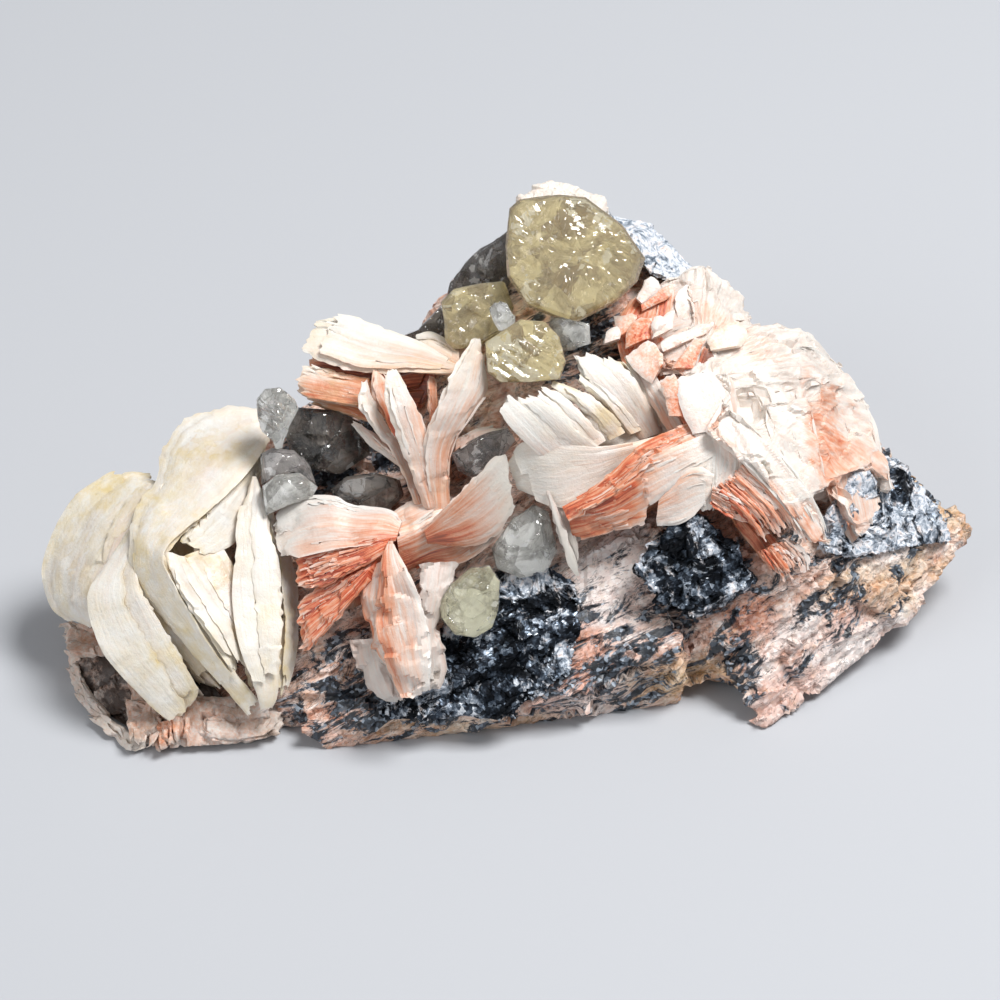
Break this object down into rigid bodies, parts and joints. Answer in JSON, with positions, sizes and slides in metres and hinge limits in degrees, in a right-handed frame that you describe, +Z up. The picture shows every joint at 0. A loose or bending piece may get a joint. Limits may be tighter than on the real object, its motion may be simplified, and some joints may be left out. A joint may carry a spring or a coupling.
{
  "type": "mineral specimen of bladed barite with cerussite and galena",
  "caption": "Cabinet mineral specimen: fanned white-to-orange barite blades, glassy cerussite crystals and lead-grey galena on a broken rock with a flat underside.",
  "frame": {"origin": "centre of the specimen's bounding box, on the ground that it rests on", "axes": "+X along the length of the rock, from the pale shells to the pointed end; +Y to the back; +Z up. The crystal face looks along -Y and up"},
  "size_m": [0.0924, 0.0544, 0.0407],
  "materials": {
    "matrix": "broken sugary rock of barite, quartz and iron-stained grains, tan to salmon pink with white and dark grey specks, matt",
    "galena": "cleaved lead-grey galena, metallic, with small bright steps and a dull black tarnish",
    "barite_white": "white to cream barite blades, pearly, finely ribbed along their length, faintly translucent at the edges",
    "barite_pink": "pale salmon barite blades, pearly, stained tan and orange between the blades",
    "barite_orange": "orange-red barite at the root of each spray, fading to salmon and white at the tips",
    "cerussite_honey": "honey-yellow cerussite, see-through, very glossy, ribbed and stepped faces",
    "cerussite_clear": "colourless to pale grey cerussite, see-through, very glossy",
    "cerussite_smoky": "smoky grey-brown cerussite, see-through, very glossy, facets with white edges"
  },
  "bodies": {
    "root": {"barite_bow_tie": "barite_orange", "barite_bundle_upper_left": "barite_white", "barite_comb_white": "barite_white", "barite_fan_middle": "barite_pink", "barite_folded_blades": "barite_pink", "barite_knob_top": "barite_white", "barite_mass_right": "barite_white", "barite_petals_orange": "barite_orange", "barite_rosette_under": "barite_pink", "barite_shell_far_left": "barite_white", "barite_shell_large": "barite_white", "barite_shell_upright": "barite_white", "barite_splinters": "barite_white", "barite_spray_red": "barite_orange", "barite_wedge_orange": "barite_orange", "cerussite_barrel": "cerussite_clear", "cerussite_dark_side": "cerussite_smoky", "cerussite_dark_top": "cerussite_smoky", "cerussite_grey_low": "cerussite_clear", "cerussite_grey_small": "cerussite_clear", "cerussite_heart_twin": "cerussite_clear", "cerussite_honey_large": "cerussite_honey", "cerussite_honey_low": "cerussite_honey", "cerussite_honey_side": "cerussite_honey", "cerussite_pale_lens": "cerussite_clear", "cerussite_ribbed": "cerussite_honey", "cerussite_smoky_back": "cerussite_smoky", "cerussite_smoky_front": "cerussite_smoky", "cerussite_smoky_left": "cerussite_smoky", "cerussite_smoky_middle": "cerussite_smoky", "galena_centre": "galena", "galena_crust_top": "galena", "galena_end": "galena", "galena_right": "galena", "matrix_rock": "matrix"}
  },
  "joints": []
}
